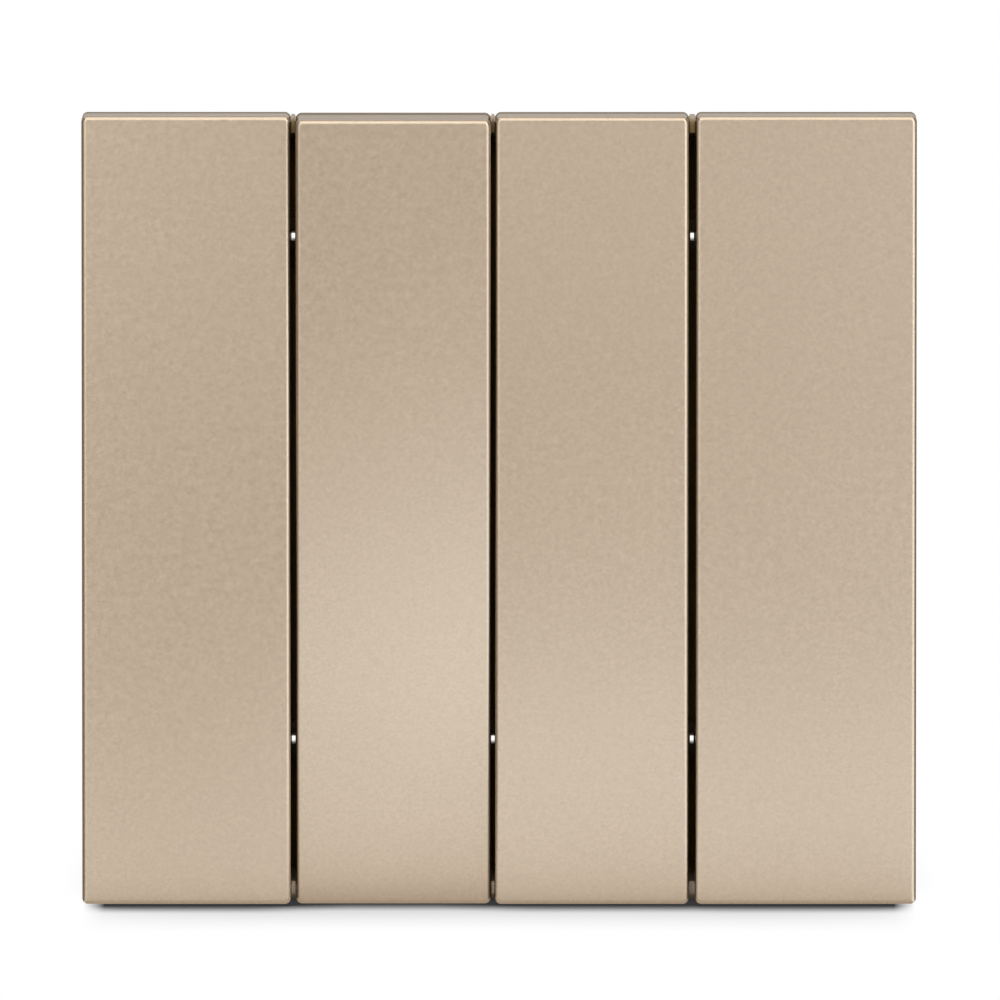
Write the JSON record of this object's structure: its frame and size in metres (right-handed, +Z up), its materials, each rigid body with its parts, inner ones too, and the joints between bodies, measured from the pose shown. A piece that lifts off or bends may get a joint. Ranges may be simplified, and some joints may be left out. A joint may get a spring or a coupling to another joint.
{
  "type": "rocker light switch",
  "caption": "Flush multi-gang rocker light switch with tall champagne rockers side by side, lamp tips in the gaps, a steel support plate and a screw-terminal base.",
  "frame": {"origin": "middle of the back of the support plate, on the wall's surface, halfway between the two box-screw slots", "axes": "X runs to the right along the row of rockers, Y into the wall, Z up"},
  "size_m": [0.0702, 0.0347, 0.0666],
  "materials": {
    "champagne_lacquer": "moulded plastic with a fine champagne metallic lacquer, satin",
    "carrier_plastic": "moulded plastic in champagne, satin",
    "zinc_plated_steel": "pressed sheet steel, zinc plated",
    "housing_plastic": "moulded thermoset in off-white, fine grained",
    "cover_plastic": "moulded plastic in dark grey",
    "lever_plastic": "moulded nylon in natural white",
    "bright_steel": "ground steel",
    "screw_steel": "zinc plated steel",
    "spring_steel": "spring strip",
    "contact_brass": "rolled brass with silver contact",
    "terminal_brass": "brass block and strip",
    "board_laminate": "black circuit board",
    "guide_plastic": "translucent white acrylic",
    "lamp_chip": "lamp chip with a yellow top"
  },
  "bodies": {
    "base": {"carrier_frame": "carrier_plastic", "support_plate": "zinc_plated_steel", "base_housing": "housing_plastic", "mechanism_cover": "cover_plastic", "lever_shaft": "bright_steel", "lamp_board": "board_laminate", "terminal_screws": "screw_steel", "assembly_screws": "screw_steel", "pivot_pin_1": "bright_steel", "line_terminal_1": "terminal_brass", "load_terminal_1": "terminal_brass", "pivot_pin_2": "bright_steel", "line_terminal_2": "terminal_brass", "load_terminal_2": "terminal_brass", "pivot_pin_3": "bright_steel", "line_terminal_3": "terminal_brass", "load_terminal_3": "terminal_brass", "pivot_pin_4": "bright_steel", "line_terminal_4": "terminal_brass", "load_terminal_4": "terminal_brass", "status_1_light_guide": "guide_plastic", "status_1_lamp_chip": "lamp_chip", "status_2_light_guide": "guide_plastic", "status_2_lamp_chip": "lamp_chip", "status_3_light_guide": "guide_plastic", "status_3_lamp_chip": "lamp_chip", "status_4_light_guide": "guide_plastic", "status_4_lamp_chip": "lamp_chip", "locator_light_guide": "guide_plastic", "locator_lamp_chip": "lamp_chip"},
    "rocker_1": {"rocker_1": "champagne_lacquer"},
    "lever_1": {"switch_lever_1": "lever_plastic", "spring_1": "spring_steel"},
    "plunger_1": {"plunger_1": "bright_steel"},
    "seesaw_1": {"seesaw_contact_1": "contact_brass"},
    "rocker_2": {"rocker_2": "champagne_lacquer"},
    "lever_2": {"switch_lever_2": "lever_plastic", "spring_2": "spring_steel"},
    "plunger_2": {"plunger_2": "bright_steel"},
    "seesaw_2": {"seesaw_contact_2": "contact_brass"},
    "rocker_3": {"rocker_3": "champagne_lacquer"},
    "lever_3": {"switch_lever_3": "lever_plastic", "spring_3": "spring_steel"},
    "plunger_3": {"plunger_3": "bright_steel"},
    "seesaw_3": {"seesaw_contact_3": "contact_brass"},
    "rocker_4": {"rocker_4": "champagne_lacquer"},
    "lever_4": {"switch_lever_4": "lever_plastic", "spring_4": "spring_steel"},
    "plunger_4": {"plunger_4": "bright_steel"},
    "seesaw_4": {"seesaw_contact_4": "contact_brass"}
  },
  "joints": [
    {"name": "rocker_1_tilt", "type": "hinge", "parent": "base", "child": "rocker_1", "pos_m": [-0.02253, -0.0088, 0], "axis": [1, 0, 0], "range_deg": [0, 2.8]},
    {"name": "lever_1_turn", "type": "hinge", "parent": "base", "child": "lever_1", "pos_m": [-0.01905, 0.0057, 0], "axis": [1, 0, 0], "range_deg": [-11.7, 0]},
    {"name": "seesaw_1_rock", "type": "hinge", "parent": "base", "child": "seesaw_1", "pos_m": [-0.01905, 0.0155, 0], "axis": [1, 0, 0], "range_deg": [0, 9.2]},
    {"name": "plunger_1_slide", "type": "slide", "parent": "lever_1", "child": "plunger_1", "axis": [0, 0.9948, 0.1019], "range_m": [-0.0005, 0], "stiffness_N_per_m": 400, "springref_m": 0.003, "deforming": ["spring_1"]},
    {"name": "rocker_2_tilt", "type": "hinge", "parent": "base", "child": "rocker_2", "pos_m": [-0.00635, -0.0088, 0], "axis": [1, 0, 0], "range_deg": [-2.8, 0]},
    {"name": "lever_2_turn", "type": "hinge", "parent": "base", "child": "lever_2", "pos_m": [-0.00635, 0.0057, 0], "axis": [1, 0, 0], "range_deg": [0, 11.7]},
    {"name": "seesaw_2_rock", "type": "hinge", "parent": "base", "child": "seesaw_2", "pos_m": [-0.00635, 0.0155, 0], "axis": [1, 0, 0], "range_deg": [-9.2, 0]},
    {"name": "plunger_2_slide", "type": "slide", "parent": "lever_2", "child": "plunger_2", "axis": [0, 0.9948, -0.1019], "range_m": [-0.0005, 0], "stiffness_N_per_m": 400, "springref_m": 0.003, "deforming": ["spring_2"]},
    {"name": "rocker_3_tilt", "type": "hinge", "parent": "base", "child": "rocker_3", "pos_m": [0.00635, -0.0088, 0], "axis": [1, 0, 0], "range_deg": [0, 2.2]},
    {"name": "lever_3_turn", "type": "hinge", "parent": "base", "child": "lever_3", "pos_m": [0.00635, 0.0057, 0], "axis": [1, 0, 0], "range_deg": [-11.7, 0]},
    {"name": "seesaw_3_rock", "type": "hinge", "parent": "base", "child": "seesaw_3", "pos_m": [0.00635, 0.0155, 0], "axis": [1, 0, 0], "range_deg": [0, 9.2]},
    {"name": "plunger_3_slide", "type": "slide", "parent": "lever_3", "child": "plunger_3", "axis": [0, 0.9948, 0.1019], "range_m": [-0.0005, 0], "stiffness_N_per_m": 400, "springref_m": 0.003, "deforming": ["spring_3"]},
    {"name": "rocker_4_tilt", "type": "hinge", "parent": "base", "child": "rocker_4", "pos_m": [0.02152, -0.0088, 0], "axis": [1, 0, 0], "range_deg": [0, 2.8]},
    {"name": "lever_4_turn", "type": "hinge", "parent": "base", "child": "lever_4", "pos_m": [0.01905, 0.0057, 0], "axis": [1, 0, 0], "range_deg": [-11.7, 0]},
    {"name": "seesaw_4_rock", "type": "hinge", "parent": "base", "child": "seesaw_4", "pos_m": [0.01905, 0.0155, 0], "axis": [1, 0, 0], "range_deg": [0, 9.2]},
    {"name": "plunger_4_slide", "type": "slide", "parent": "lever_4", "child": "plunger_4", "axis": [0, 0.9948, 0.1019], "range_m": [-0.0005, 0], "stiffness_N_per_m": 400, "springref_m": 0.003, "deforming": ["spring_4"]}
  ],
  "couplings": [
    {"joint": "lever_1_turn", "follows": "rocker_1_tilt", "ratio": -4.1786},
    {"joint": "seesaw_1_rock", "follows": "rocker_1_tilt", "ratio": 3.2857},
    {"joint": "lever_2_turn", "follows": "rocker_2_tilt", "ratio": -4.1786},
    {"joint": "seesaw_2_rock", "follows": "rocker_2_tilt", "ratio": 3.2857},
    {"joint": "lever_3_turn", "follows": "rocker_3_tilt", "ratio": -5.3182},
    {"joint": "seesaw_3_rock", "follows": "rocker_3_tilt", "ratio": 4.1818},
    {"joint": "lever_4_turn", "follows": "rocker_4_tilt", "ratio": -4.1786},
    {"joint": "seesaw_4_rock", "follows": "rocker_4_tilt", "ratio": 3.2857}
  ]
}
